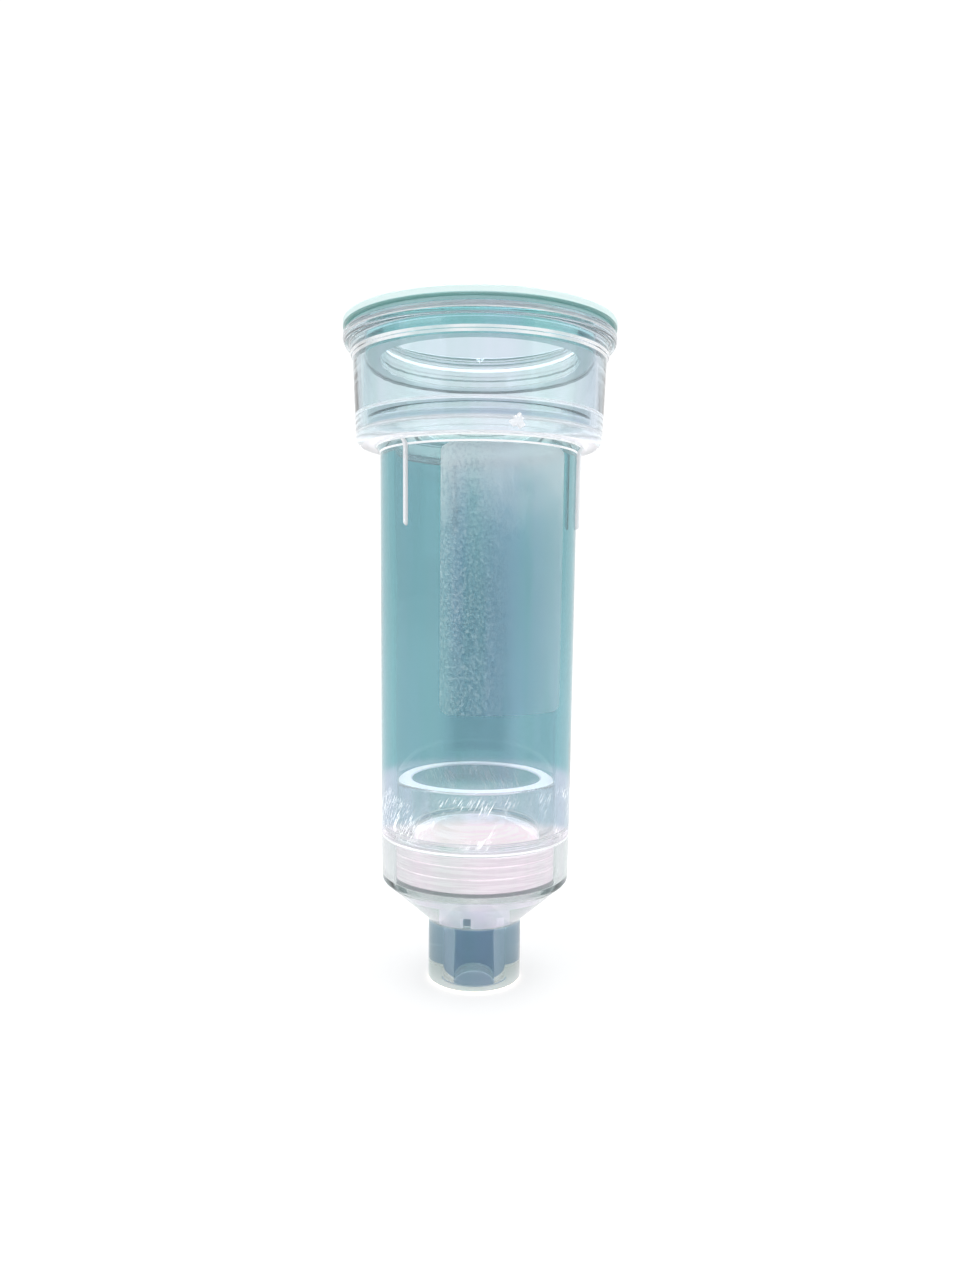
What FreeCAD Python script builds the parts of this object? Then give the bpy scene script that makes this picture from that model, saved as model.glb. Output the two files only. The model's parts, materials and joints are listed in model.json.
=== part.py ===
import FreeCAD, Part

import math
import os

# Carbon dioxide diffuser: a clear stepped tube with a gas inlet spout below, a porous
# disc pack held by a retaining ring in its base, and a wide collar with a mouth ring on top.
# Millimetres. +Z is up. The origin is the centre of the inlet spout's open lower end.

Vector = FreeCAD.Vector
UP = Vector(0, 0, 1)
AXIS_POINT = Vector(0, 0, 0)
FULL_TURN = 360.0

# ---------------------------------------------------------------- driving dimensions
MOUTH_FLANGE_R = 15.0        # outer radius of the whole part
TOTAL_HEIGHT = 73.1
INLET_BORE_R = 2.25
SPOUT_R = 5.25
BORE_R = 9.05                # tube bore at its lower end
BORE_TOP_R = 9.30            # the bore opens slightly towards the collar
SLIDE_GAP = 0.15             # radial gap round every loose piece in the bore

# ---------------------------------------------------------------- levels, bottom to top
SPOUT_TOP_Z = 7.05
CHAMBER_FLOOR_Z = 7.5
CONE_TOP_Z = 11.75
LEDGE_Z = 12.1               # the lower seal rests here
COARSE_Z = 12.5
MIDDLE_Z = 14.0
FINE_Z = 15.3
UPPER_SEAL_Z = 16.3
BASE_TOP_Z = 16.9            # joint between the base and the tube
RETAINER_TOP_Z = 23.2
BORE_TAPER_Z = 24.0
RIB_BOTTOM_Z = 50.7
COLLAR_BOTTOM_Z = 59.65
SEAL_SEAT_Z = 61.2
FLANGE_Z = 61.9
COLLAR_FLOOR_Z = 63.0
SPIGOT_BOTTOM_Z = 69.0
NECK_Z = 69.35
LIP_BOTTOM_Z = 70.5
LIP_STEP_Z = 71.0
LIP_TOP_Z = 71.7
RING_SEAT_Z = 72.1
FLARE_Z = 71.15

# ---------------------------------------------------------------- base and spout
SPOUT_EDGE_ROUND = 0.3
JUNCTION_ROUND = 0.7
CONE_R = 10.48
CONE_ROUND = 0.6
BASE_TOP_R = 10.60
TONGUE_R = 9.80
TONGUE_HEIGHT = 0.8
CHAMBER_FLOOR_R = 4.75
LEDGE_R = 7.95

# ---------------------------------------------------------------- tube
TUBE_TOP_R = 10.92
NECK_R = 11.4                # the tube thickens to this where it enters the collar
SHOULDER_HEIGHT = 0.6
FLANGE_R = 12.35
FLANGE_EDGE_ROUND = 0.2
RIB_AZIMUTHS = (-43.0, 77.0, 197.0)   # degrees from -Y towards +X
RIB_WIDTH = 0.36
RIB_HEIGHT = 0.45
RIB_ROOT = 0.6

# ---------------------------------------------------------------- matte label
LABEL_THICKNESS = 0.1
LABEL_BOTTOM_Z = 31.4
LABEL_TOP_Z = 58.9
LABEL_CENTRE = 17.0          # azimuth half way between the two front ribs
LABEL_WIDTH_ANGLE = 75.0

# ---------------------------------------------------------------- pieces in the base
PACK_R = BORE_R - SLIDE_GAP
SEAL_INNER_R = 7.35
DISC_EDGE = 0.1
CROWN_R = 7.0                # the fine disc bulges up inside the retaining ring
CROWN_HEIGHT = 2.4
RETAINER_INNER_R = 7.2
RETAINER_TOP_ROUND = 0.35
RETAINER_BOTTOM_CHAMFER = 0.25

# ---------------------------------------------------------------- support grid
GRID_TOP_Z = 12.05
GRID_PLATE_Z = 10.9
SKIRT_INNER_R = 2.6
SKIRT_R = 3.8
SLOT_COUNT = 6
SLOT_FIRST_AZIMUTH = -14.0
SLOT_WIDTH = 1.1
SLOT_TOP_Z = 9.3
GRID_HOLE_R = 0.7
GRID_CENTRE_HOLE_R = 0.9
GRID_HOLE_RINGS = ((1.75, 6), (5.75, 16))   # (circle radius, number of holes)

# ---------------------------------------------------------------- collar
COLLAR_BOTTOM_R = 13.52
COLLAR_TOP_R = 13.92
COLLAR_EDGE_ROUND = 0.9
COLLAR_WELL_R = 12.8
COLLAR_NECK_R = 14.2
LIP_R = 14.9
RIM_ROUND = 0.25
ORING_R = 11.87
ORING_SECTION_R = 0.35

# ---------------------------------------------------------------- mouth ring and gasket
SPIGOT_R = COLLAR_WELL_R - SLIDE_GAP
MOUTH_BORE_R = 10.9
MOUTH_FLARE_R = 12.3
GASKET_INNER_R = 12.95
GASKET_R = 14.6

TOLERANCE = 1e-4


def lathe(outline):
    """Turn a closed (radius, height) outline about the Z axis into a solid."""
    points = [Vector(radius, 0, height) for radius, height in outline]
    wire = Part.makePolygon(points + points[:1])
    return Part.Face(wire).revolve(AXIS_POINT, UP, FULL_TURN)


def is_rim(edge, radius, height):
    """True for a circular edge of this radius, centred on Z at this height."""
    curve = edge.Curve
    if not isinstance(curve, Part.Circle):
        return False
    on_radius = abs(curve.Radius - radius) < TOLERANCE
    at_height = abs(curve.Center.z - height) < TOLERANCE
    return on_radius and at_height


def rims(solid, places):
    """The circular edges of a solid at the given (radius, height) places."""
    return [edge for edge in solid.Edges if any(is_rim(edge, r, z) for r, z in places)]


def rounded(solid, size, *places):
    """Round the circular edges at the given (radius, height) places."""
    return solid.makeFillet(size, rims(solid, places))


def chamfered(solid, size, *places):
    """Chamfer the circular edges at the given (radius, height) places."""
    return solid.makeChamfer(size, rims(solid, places))


def flat_ring(inner, outer, bottom, top):
    """A plain ring of rectangular section."""
    return lathe([(inner, bottom), (outer, bottom), (outer, top), (inner, top)])


def turned(shape, azimuth):
    """A copy turned about Z: azimuth 0 faces -Y, and positive turns towards +X."""
    copy = shape.copy()
    copy.rotate(AXIS_POINT, UP, azimuth)
    return copy


def tube_outer_radius(height):
    """Outer radius of the drafted tube wall at a height."""
    share = (height - BASE_TOP_Z) / (COLLAR_BOTTOM_Z - BASE_TOP_Z)
    return BASE_TOP_R + share * (TUBE_TOP_R - BASE_TOP_R)


def make_base_funnel():
    """Base cup for the disc pack, narrowing through a cone to the inlet spout."""
    outline = [
        (INLET_BORE_R, 0),
        (SPOUT_R, 0),
        (SPOUT_R, SPOUT_TOP_Z),
        (CONE_R, CONE_TOP_Z),
        (BASE_TOP_R, BASE_TOP_Z),
        (TONGUE_R, BASE_TOP_Z),
        (TONGUE_R, BASE_TOP_Z + TONGUE_HEIGHT),
        (BORE_R, BASE_TOP_Z + TONGUE_HEIGHT),
        (BORE_R, LEDGE_Z),
        (LEDGE_R, LEDGE_Z),
        (CHAMBER_FLOOR_R, CHAMBER_FLOOR_Z),
        (INLET_BORE_R, CHAMBER_FLOOR_Z),
    ]
    base = lathe(outline)
    base = rounded(base, SPOUT_EDGE_ROUND, (SPOUT_R, 0))
    base = rounded(base, JUNCTION_ROUND, (SPOUT_R, SPOUT_TOP_Z))
    return rounded(base, CONE_ROUND, (CONE_R, CONE_TOP_Z))


def make_rib():
    """One thin upright rib with a rounded lower end, on the tube under the collar."""
    radius = tube_outer_radius(RIB_BOTTOM_Z)
    depth = RIB_ROOT + RIB_HEIGHT
    height = COLLAR_BOTTOM_Z - RIB_BOTTOM_Z
    corner = Vector(-RIB_WIDTH / 2, -(radius + RIB_HEIGHT), RIB_BOTTOM_Z)
    rib = Part.makeBox(RIB_WIDTH, depth, height, corner)
    toe = [
        edge
        for edge in rib.Edges
        if all(abs(v.Z - RIB_BOTTOM_Z) < TOLERANCE for v in edge.Vertexes)
        and all(abs(v.Y - corner.y) < TOLERANCE for v in edge.Vertexes)
    ]
    return rib.makeFillet(RIB_HEIGHT * 0.8, toe)


def make_tube():
    """Drafted clear tube with a flange that seats in the collar floor, and three ribs."""
    shoulder_z = COLLAR_BOTTOM_Z - SHOULDER_HEIGHT
    outline = [
        (TONGUE_R, BASE_TOP_Z),
        (BASE_TOP_R, BASE_TOP_Z),
        (tube_outer_radius(shoulder_z), shoulder_z),
        (NECK_R, COLLAR_BOTTOM_Z),
        (NECK_R, FLANGE_Z),
        (FLANGE_R, FLANGE_Z),
        (FLANGE_R, COLLAR_FLOOR_Z),
        (BORE_TOP_R, COLLAR_FLOOR_Z),
        (BORE_R, BORE_TAPER_Z),
        (BORE_R, BASE_TOP_Z + TONGUE_HEIGHT),
        (TONGUE_R, BASE_TOP_Z + TONGUE_HEIGHT),
    ]
    tube = lathe(outline)
    tube = rounded(tube, FLANGE_EDGE_ROUND, (BORE_TOP_R, COLLAR_FLOOR_Z))
    rib = make_rib()
    ribs = [turned(rib, azimuth) for azimuth in RIB_AZIMUTHS]
    return tube.fuse(ribs).removeSplitter()


def make_matte_label():
    """Blank matte film on the tube's front, following the drafted wall."""
    outline = [
        (tube_outer_radius(LABEL_BOTTOM_Z), LABEL_BOTTOM_Z),
        (tube_outer_radius(LABEL_BOTTOM_Z) + LABEL_THICKNESS, LABEL_BOTTOM_Z),
        (tube_outer_radius(LABEL_TOP_Z) + LABEL_THICKNESS, LABEL_TOP_Z),
        (tube_outer_radius(LABEL_TOP_Z), LABEL_TOP_Z),
    ]
    points = [Vector(0, -radius, height) for radius, height in outline]
    face = Part.Face(Part.makePolygon(points + points[:1]))
    film = face.revolve(AXIS_POINT, UP, LABEL_WIDTH_ANGLE)
    return turned(film, LABEL_CENTRE - LABEL_WIDTH_ANGLE / 2)


def make_collar():
    """Wide cup with a counterbored floor, a slim neck and an outward lip."""
    outline = [
        (NECK_R, COLLAR_BOTTOM_Z),
        (COLLAR_BOTTOM_R, COLLAR_BOTTOM_Z),
        (COLLAR_TOP_R, NECK_Z - (COLLAR_NECK_R - COLLAR_TOP_R)),
        (COLLAR_NECK_R, NECK_Z),
        (COLLAR_NECK_R, LIP_BOTTOM_Z),
        (LIP_R, LIP_BOTTOM_Z),
        (LIP_R, LIP_STEP_Z),
        (MOUTH_FLANGE_R, LIP_STEP_Z),
        (MOUTH_FLANGE_R, LIP_TOP_Z),
        (COLLAR_WELL_R, LIP_TOP_Z),
        (COLLAR_WELL_R, COLLAR_FLOOR_Z),
        (FLANGE_R, COLLAR_FLOOR_Z),
        (FLANGE_R, SEAL_SEAT_Z),
        (NECK_R, SEAL_SEAT_Z),
    ]
    collar = lathe(outline)
    collar = rounded(collar, COLLAR_EDGE_ROUND, (COLLAR_BOTTOM_R, COLLAR_BOTTOM_Z))
    collar = rounded(collar, RIM_ROUND, (COLLAR_NECK_R, LIP_BOTTOM_Z), (LIP_R, LIP_BOTTOM_Z))
    return rounded(collar, RIM_ROUND, (MOUTH_FLANGE_R, LIP_TOP_Z))


def make_collar_seal():
    """O-ring squeezed between the collar's seat and the tube's flange."""
    return Part.makeTorus(ORING_R, ORING_SECTION_R, Vector(0, 0, SEAL_SEAT_Z + ORING_SECTION_R), UP)


def make_mouth_gasket():
    """Flat gasket between the collar's lip and the mouth ring."""
    return flat_ring(GASKET_INNER_R, GASKET_R, LIP_TOP_Z, RING_SEAT_Z)


def make_mouth_ring():
    """Flanged ring with a spigot in the collar and a flared way in."""
    outline = [
        (MOUTH_BORE_R, SPIGOT_BOTTOM_Z),
        (SPIGOT_R, SPIGOT_BOTTOM_Z),
        (SPIGOT_R, RING_SEAT_Z),
        (MOUTH_FLANGE_R, RING_SEAT_Z),
        (MOUTH_FLANGE_R, TOTAL_HEIGHT),
        (MOUTH_FLARE_R, TOTAL_HEIGHT),
        (MOUTH_BORE_R, FLARE_Z),
    ]
    ring = lathe(outline)
    ring = rounded(ring, RIM_ROUND, (MOUTH_FLANGE_R, RING_SEAT_Z), (MOUTH_FLANGE_R, TOTAL_HEIGHT))
    return rounded(ring, RIM_ROUND, (SPIGOT_R, SPIGOT_BOTTOM_Z), (MOUTH_BORE_R, SPIGOT_BOTTOM_Z))


def make_retaining_ring():
    """Thick clear ring that presses on the upper seal."""
    ring = flat_ring(RETAINER_INNER_R, PACK_R, BASE_TOP_Z, RETAINER_TOP_Z)
    ring = rounded(ring, RETAINER_TOP_ROUND, (PACK_R, RETAINER_TOP_Z))
    return chamfered(ring, RETAINER_BOTTOM_CHAMFER, (PACK_R, BASE_TOP_Z), (RETAINER_INNER_R, BASE_TOP_Z))


def make_disc(bottom, top):
    """Porous disc with its two rims lightly broken."""
    disc = Part.makeCylinder(PACK_R, top - bottom, Vector(0, 0, bottom), UP)
    return chamfered(disc, DISC_EDGE, (PACK_R, bottom), (PACK_R, top))


def make_fine_disc():
    """The top disc, with a dome that stands up through the upper seal."""
    disc = make_disc(FINE_Z, UPPER_SEAL_Z)
    ball_r = (CROWN_R ** 2 + CROWN_HEIGHT ** 2) / (2 * CROWN_HEIGHT)
    ball = Part.makeSphere(ball_r, Vector(0, 0, UPPER_SEAL_Z + CROWN_HEIGHT - ball_r))
    footprint = Part.makeCylinder(CROWN_R, 2 * CROWN_HEIGHT, Vector(0, 0, UPPER_SEAL_Z), UP)
    return disc.fuse(ball.common(footprint)).removeSplitter()


def make_support_grid():
    """Perforated plate on a slotted skirt, which stands on the chamber floor."""
    slope = (LEDGE_R - CHAMBER_FLOOR_R) / (LEDGE_Z - CHAMBER_FLOOR_Z)
    plate_top_r = CHAMBER_FLOOR_R + slope * (GRID_TOP_Z - CHAMBER_FLOOR_Z) - SLIDE_GAP
    plate_bottom_r = CHAMBER_FLOOR_R + slope * (GRID_PLATE_Z - CHAMBER_FLOOR_Z) - SLIDE_GAP
    outline = [
        (0, GRID_PLATE_Z),
        (SKIRT_INNER_R, GRID_PLATE_Z),
        (SKIRT_INNER_R, CHAMBER_FLOOR_Z),
        (SKIRT_R, CHAMBER_FLOOR_Z),
        (SKIRT_R, GRID_PLATE_Z),
        (plate_bottom_r, GRID_PLATE_Z),
        (plate_top_r, GRID_TOP_Z),
        (0, GRID_TOP_Z),
    ]
    grid = lathe(outline)
    return grid.cut(grid_slots() + grid_holes())


def grid_slots():
    """Cutters for the slots between the skirt's teeth."""
    height = SLOT_TOP_Z - CHAMBER_FLOOR_Z
    corner = Vector(-SLOT_WIDTH / 2, -(SKIRT_R + SLIDE_GAP), CHAMBER_FLOOR_Z)
    slot = Part.makeBox(SLOT_WIDTH, SKIRT_R - SKIRT_INNER_R + 2 * SLIDE_GAP, height, corner)
    step = FULL_TURN / SLOT_COUNT
    return [turned(slot, SLOT_FIRST_AZIMUTH + step * index) for index in range(SLOT_COUNT)]


def grid_holes():
    """Cutters for the gas holes through the plate."""
    depth = GRID_TOP_Z - GRID_PLATE_Z
    holes = [Part.makeCylinder(GRID_CENTRE_HOLE_R, depth, Vector(0, 0, GRID_PLATE_Z), UP)]
    for circle_radius, count in GRID_HOLE_RINGS:
        for index in range(count):
            angle = 2 * math.pi * index / count
            place = Vector(
                circle_radius * math.cos(angle), circle_radius * math.sin(angle), GRID_PLATE_Z
            )
            holes.append(Part.makeCylinder(GRID_HOLE_R, depth, place, UP))
    return holes


PIECES = {
    "base_funnel": make_base_funnel(),
    "tube": make_tube(),
    "matte_label": make_matte_label(),
    "collar": make_collar(),
    "collar_seal": make_collar_seal(),
    "mouth_gasket": make_mouth_gasket(),
    "mouth_ring": make_mouth_ring(),
    "retaining_ring": make_retaining_ring(),
    "upper_disc_seal": flat_ring(SEAL_INNER_R, PACK_R, UPPER_SEAL_Z, BASE_TOP_Z),
    "fine_disc": make_fine_disc(),
    "middle_disc": make_disc(MIDDLE_Z, FINE_Z),
    "coarse_disc": make_disc(COARSE_Z, MIDDLE_Z),
    "lower_disc_seal": flat_ring(SEAL_INNER_R, PACK_R, LEDGE_Z, COARSE_Z),
    "support_grid": make_support_grid(),
}

os.makedirs("parts", exist_ok=True)
for name, piece in PIECES.items():
    piece.exportStep(os.path.join("parts", name + ".step"))
    print(name, "valid", piece.isValid(), "solids", len(piece.Solids), round(piece.Volume, 1))
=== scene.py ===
import json
import math
import random

import bmesh
import bpy
from mathutils import Matrix, Vector

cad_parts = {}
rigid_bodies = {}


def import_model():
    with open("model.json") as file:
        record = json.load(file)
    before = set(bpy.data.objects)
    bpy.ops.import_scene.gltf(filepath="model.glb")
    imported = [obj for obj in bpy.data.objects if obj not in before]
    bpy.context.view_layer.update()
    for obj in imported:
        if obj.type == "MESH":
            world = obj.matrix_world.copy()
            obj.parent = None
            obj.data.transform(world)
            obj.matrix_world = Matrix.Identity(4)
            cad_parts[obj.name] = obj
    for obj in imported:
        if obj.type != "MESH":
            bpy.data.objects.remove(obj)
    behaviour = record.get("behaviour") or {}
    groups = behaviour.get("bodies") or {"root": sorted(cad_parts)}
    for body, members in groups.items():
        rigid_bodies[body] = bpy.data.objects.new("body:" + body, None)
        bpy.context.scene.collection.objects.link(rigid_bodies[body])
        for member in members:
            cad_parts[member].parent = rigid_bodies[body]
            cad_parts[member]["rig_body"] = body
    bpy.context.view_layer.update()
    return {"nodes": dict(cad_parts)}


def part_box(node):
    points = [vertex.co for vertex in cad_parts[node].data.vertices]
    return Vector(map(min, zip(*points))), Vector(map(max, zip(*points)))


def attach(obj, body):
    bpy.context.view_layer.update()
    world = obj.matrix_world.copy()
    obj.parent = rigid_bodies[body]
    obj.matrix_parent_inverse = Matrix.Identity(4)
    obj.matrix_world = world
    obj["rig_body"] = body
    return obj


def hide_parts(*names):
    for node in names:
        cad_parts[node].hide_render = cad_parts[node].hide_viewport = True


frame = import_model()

# The looks of a carbon dioxide diffuser: a clear stepped tube with a porous disc pack in its
# base. Lengths are in metres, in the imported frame: +Z is up and -Y is the object's front.

MM = 0.001
NODES = frame["nodes"]
BODY_OF = {node: NODES[node]["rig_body"] for node in NODES}

# ---------------------------------------------------------------- fineness
TURN_STEPS = 240             # facets round every turned piece
SHARP = math.radians(32)     # a profile corner above this stays a crease
EDGE_SOFTNESS = 0.07 * MM    # how far a moulded edge is broken
DISC_SOFTNESS = 0.04 * MM
SOFT_STEPS = 3
SEAM = 0.012 * MM            # air left on each side of a joint between two pieces
NEAR = 1e-7                  # lengths below this count as none
STRAIGHT = 1e-3              # bends (their sine) below this count as none

# ---------------------------------------------------------------- places on the object, in mm
# A pair is where something begins and where it is full.
SKIRT_BORE = 2.6             # radius inside the grid's skirt
BORE_WALL = 9.9              # between the tube's bore and its outer wall
COLUMN_LEFT = (-4.4, -2.0)   # the band of painted shade up the tube's bore, across
COLUMN_RIGHT = (4.8, 2.4)
COLUMN_FOOT = (24.0, 25.0)   # and upwards
COLUMN_HEAD = (58.0, 40.0)
LEAN_FADE = (50.0, 40.0)     # above this the skin's bands of painted light are level
BACK_BLUR = 6.0              # half the width of the change from the front's painted tint to the back's
BORE_BLUR = 0.15
VEIL_BLUR = 0.3
# Across the film, in mm: a rim of painted shade, a coarser side, a side of painted light and a
# lighter left side.
FILM_SHADED_RIM = (-4.2, -4.5)
FILM_COARSE_SIDE = (4.2, -1.2)
FILM_LIT_SIDE = (4.4, 9.0)
FILM_LEFT_SIDE = (-1.2, -3.8)

# ---------------------------------------------------------------- optics
PLASTIC_IOR = 1.49
FILM_IOR = 1.15
VEIL_STRENGTH = 0.34
TUBE_SOAK = 90.0             # light soaked up, per metre
CUP_SOAK = 125.0
COLLAR_SOAK = 8.0
RETAINER_SOAK = 15.0

# ---------------------------------------------------------------- colours (linear)
# A clear wall's colour is what two crossings of one of its surfaces let through. The clear
# walls' tints are painted light: they stand in for teal light that shows through the walls.
CLEAR = (0.97, 0.99, 1.0, 1)
TEAL_SKIN = (0.205, 0.48, 0.53, 1)
TEAL_BORE = (0.98, 0.87, 0.89, 1)
# Painted shade for the darker column up the tube's bore.
COLUMN_SHADE = (0.60, 0.60, 0.66, 1)
# Painted light: the retaining ring's back half is tinted apart from its front.
RETAINER_BACK = (0.76, 0.84, 0.81, 1)
JOINT_SKIN = (0.50, 0.62, 0.73, 1)
JOINT_LOW = (0.94, 0.88, 0.94, 1)
# Painted light: the collar's and mouth ring's front halves are tinted for light seen through them,
# their back halves left white.
COLLAR_FRONT = (0.60, 0.72, 0.78, 1)
COLLAR_BACK = (1.0, 1.0, 1.0, 1)
MOUTH_FRONT = (0.32, 0.63, 0.61, 1)
MOUTH_BACK = (1.0, 1.0, 1.0, 1)
SMOKE_SKIN = (0.36, 0.50, 0.61, 1)
BODY_TINT = (0.50, 0.57, 0.57, 1)
# Painted light for the support grid.
MILK_PAINTED_LIGHT = (1.0, 0.90, 1.0, 1)
FROST_WHITE = (0.95, 0.96, 0.98, 1)
FROST_MINT = (0.64, 0.73, 0.73, 1)
FROST_PINK = (0.97, 0.94, 0.96, 1)
PORCELAIN = (0.56, 0.50, 0.54, 1)
PORCELAIN_LIGHT = (0.62, 0.57, 0.60, 1)
PORCELAIN_LINE = (0.70, 0.66, 0.68, 1)
# Painted light for the ceramic discs, lighter along their lines.
CERAMIC_PAINTED_LIGHT = (0.68, 0.57, 0.62, 1)
CERAMIC_LINE_PAINTED_LIGHT = (0.76, 0.66, 0.70, 1)
# Painted light for the fine disc's crown, apart from its sides.
CROWN_PAINTED_LIGHT = (0.66, 0.57, 0.54, 1)
# Painted light for the retaining ring's frosted top.
RING_PAINTED_LIGHT = (1.0, 0.97, 0.92, 1)
SKIRT_SHADE = (0.46, 0.61, 0.69, 1)
# Painted light for the mouth's frosted rim and the spout's frosted foot.
RIM_PAINTED_LIGHT = (0.70, 1.0, 0.95, 1)
FOOT_PAINTED_LIGHT = (1.0, 0.84, 0.67, 1)
CUP_SKIN = (0.80, 0.84, 0.84, 1)
MILKY = (0.86, 0.86, 0.90, 1)
MILKY_LIGHT = (0.95, 0.95, 0.97, 1)
FILM_TINT = (0.77, 0.88, 0.91, 1)
# The film's lighter colour serves its speckle and its painted light; the next, its rim's painted
# shade and its pores.
FILM_PALE_AND_LIT = (0.88, 0.98, 0.98, 1)
FILM_SHADE_AND_PORES = (0.55, 0.62, 0.68, 1)
PAPER = (0.50, 0.505, 0.505, 1)
PAPER_LIGHT = (0.52, 0.52, 0.52, 1)
DAYLIGHT = (0.98, 0.99, 1, 1)
SEAL_CLEAR = ((0.84, 0.88, 0.90, 1), (0.93, 0.95, 0.96, 1))
GASKET_TEAL = ((0.30, 0.50, 0.51, 1), (0.38, 0.58, 0.59, 1))
SEAL_WHITE = ((0.93, 0.93, 0.95, 1), (0.97, 0.97, 0.98, 1))
SEAL_GREY = ((0.50, 0.50, 0.54, 1), (0.60, 0.60, 0.63, 1))


# ================================================================ shader graphs
def add(tree, kind, inputs=None, **settings):
    """Add a shader node; an input is either a value or a socket to link from."""
    made = tree.nodes.new("ShaderNode" + kind)
    for key, value in settings.items():
        setattr(made, key, value)
    for key, value in (inputs or {}).items():
        if isinstance(value, bpy.types.NodeSocket):
            tree.links.new(value, made.inputs[key])
        else:
            made.inputs[key].default_value = value
    return made


def maths(tree, operation, first, second):
    """One Math node; returns its value socket."""
    return add(tree, "Math", {0: first, 1: second}, operation=operation).outputs[0]


def times(tree, first, second):
    """The product of two values; returns the socket."""
    return maths(tree, "MULTIPLY", first, second)


def plus(tree, first, second):
    """The sum of two values; returns the socket."""
    return maths(tree, "ADD", first, second)


def step(tree, value, low, high):
    """0 below low, 1 above high, smooth between; returns the socket."""
    made = add(tree, "MapRange", {"Value": value, "From Min": low, "From Max": high})
    made.interpolation_type = "SMOOTHSTEP"
    return made.outputs["Result"]


def ranged(tree, value, low, high):
    """A value from 0 to 1 stretched to run from low to high; returns the socket."""
    return add(tree, "MapRange", {"Value": value, "To Min": low, "To Max": high}).outputs["Result"]


def coordinate(tree, point, axis):
    """One coordinate of a point; returns the socket."""
    return add(tree, "SeparateXYZ", {0: point}).outputs[axis]


def stretched(tree, point, factors):
    """A point with each coordinate scaled by its own factor; returns the socket."""
    return add(tree, "VectorMath", {0: point, 1: factors}, operation="MULTIPLY").outputs[0]


def blend_colours(tree, share, first, second):
    """Mix two colours (values or sockets) by a share; returns the colour socket."""
    made = tree.nodes.new("ShaderNodeMix")
    made.data_type = "RGBA"
    # For colours this node takes its share at 0 and the two at 6 and 7, and returns them at 2.
    for index, value in ((0, share), (6, first), (7, second)):
        if isinstance(value, bpy.types.NodeSocket):
            tree.links.new(value, made.inputs[index])
        else:
            made.inputs[index].default_value = value
    return made.outputs[2]


def noise(tree, vector, scale, detail=2.0, roughness=0.5):
    """Noise value at a vector; returns the socket."""
    made = add(tree, "TexNoise", {
        "Vector": vector,
        "Scale": scale,
        "Detail": detail,
        "Roughness": roughness,
    })
    return made.outputs["Fac"]


def place(tree):
    """The point on the object in millimetres, its distance from the axis and its height."""
    point = add(tree, "TexCoord").outputs["Object"]
    scaled = add(tree, "VectorMath", {0: point, "Scale": 1 / MM}, operation="SCALE").outputs[0]
    flat = stretched(tree, scaled, (1, 1, 0))
    radius = add(tree, "VectorMath", {0: flat}, operation="LENGTH").outputs["Value"]
    return scaled, radius, coordinate(tree, scaled, "Z")


def streaked(tree, point, height, twist, along):
    """Coordinates that run up the wall, leaning by twist radians per millimetre."""
    angle = times(tree, height, twist)
    turned = add(tree, "VectorRotate", {"Vector": point, "Angle": angle}, rotation_type="Z_AXIS")
    return stretched(tree, turned.outputs[0], (1, 1, along))


def surface(name, **constants):
    """A new material with a Principled shader; constants are set on its own sockets."""
    material = bpy.data.materials.new(name)
    material.use_nodes = True
    tree = material.node_tree
    shader = tree.nodes["Principled BSDF"]
    for key, value in constants.items():
        shader.inputs[key.replace("_", " ")].default_value = value
    return material, tree, shader


def feed(tree, shader, **sockets):
    """Link sockets to a shader's inputs by name."""
    for key, socket in sockets.items():
        tree.links.new(socket, shader.inputs[key.replace("_", " ")])


def bump(tree, shader, height, distance, strength):
    """Feed a height socket to a shader's normal; the distance is in metres."""
    made = add(tree, "Bump", {"Height": height, "Distance": distance, "Strength": strength})
    feed(tree, shader, Normal=made.outputs[0])


def lighter(colour, gain):
    """A colour scaled by a gain, kept within range."""
    return tuple(min(1.0, gain * channel) for channel in colour[:3]) + (1,)


# ================================================================ materials
def drifting(tree, point, colour):
    """A colour that drifts in upright bands, from a greener to a bluer shade."""
    upright = stretched(tree, point, (1, 1, 0.06))
    red, green, blue = colour[:3]
    greener = (red * (0.86 + 0.10 * red), green * 0.99, blue * 0.96, 1)
    bluer = (min(red * 1.10, 1), min(green * 1.01, 1), min(blue * 1.06, 1), 1)
    share = step(tree, noise(tree, upright, 0.24, 3.0, 0.6), 0.30, 0.70)
    return blend_colours(tree, share, greener, bluer)


def banded(tree, point, level, bands, blur):
    """Colours stacked by level, in mm; each band is (where it starts, its colour)."""
    colour = drifting(tree, point, bands[0][1])
    for start, tint in bands[1:]:
        share = step(tree, level, start - blur, start + blur)
        colour = blend_colours(tree, share, colour, drifting(tree, point, tint))
    return colour


def tool_marks(tree, point, height, low, high):
    """Fine slanting scratches between two heights, in patches; returns their strength."""
    twist, along, fade = -0.055, 0.09, 1.0
    slanted = streaked(tree, point, height, twist, along)
    lines = step(tree, noise(tree, slanted, 9.5, 2.0, 0.6), 0.55, 0.64)
    patches = step(tree, noise(tree, point, 0.19), 0.42, 0.56)
    above = step(tree, height, low, low + fade)
    below = step(tree, height, high, high - fade)
    return times(tree, times(tree, lines, patches), times(tree, above, below))


def painted_shade_column(tree, point, height):
    """An upright band of painted shade near the middle, where the wall looks deeper, fading out
    upwards.
    """
    across = coordinate(tree, point, "X")
    left = step(tree, across, *COLUMN_LEFT)
    right = step(tree, across, *COLUMN_RIGHT)
    rising = times(tree, step(tree, height, *COLUMN_FOOT), step(tree, height, *COLUMN_HEAD))
    return times(tree, times(tree, left, right), rising)


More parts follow.
